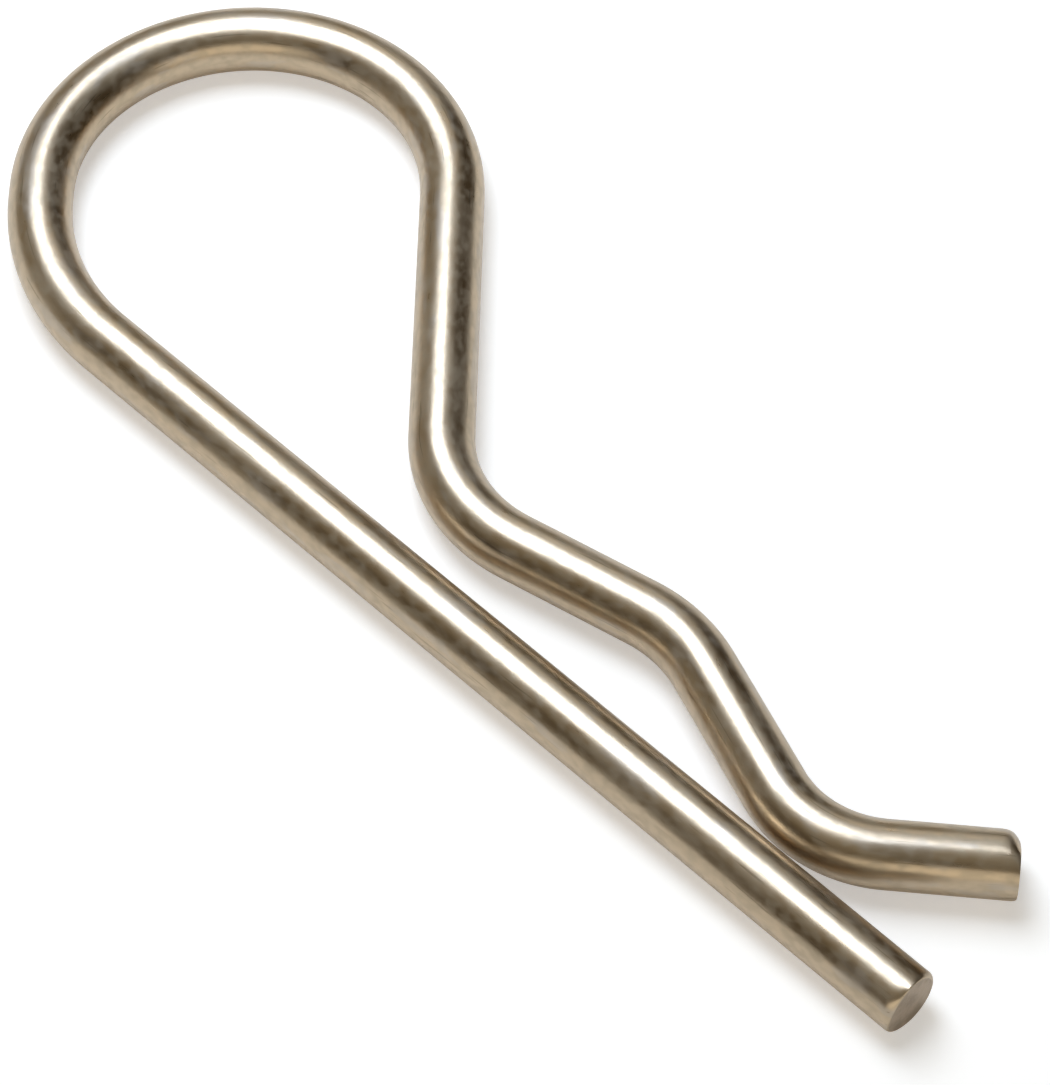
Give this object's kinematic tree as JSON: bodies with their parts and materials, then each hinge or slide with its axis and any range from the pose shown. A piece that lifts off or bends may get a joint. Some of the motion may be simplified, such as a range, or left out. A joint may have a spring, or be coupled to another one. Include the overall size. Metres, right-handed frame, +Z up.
{
  "type": "hitch r clip pin",
  "caption": "R-shaped locking clip bent from one round steel wire: a straight leg goes through a shaft's cross hole and a sprung leg snaps round the shaft.",
  "frame": {"origin": "under the middle of the clip's outline, on the surface that it lies flat on", "axes": "+X along the straight leg, from the loop to the cut ends; +Y from the straight leg to the sprung leg; +Z up, square to the plane that the wire is bent in"},
  "size_m": [0.098, 0.0366, 0.0048],
  "materials": {
    "spring_wire": "drawn spring steel wire, bright plated with a warm yellowish cast, with dull grey sheared ends"
  },
  "bodies": {
    "root": {"wire": "spring_wire"}
  },
  "joints": []
}
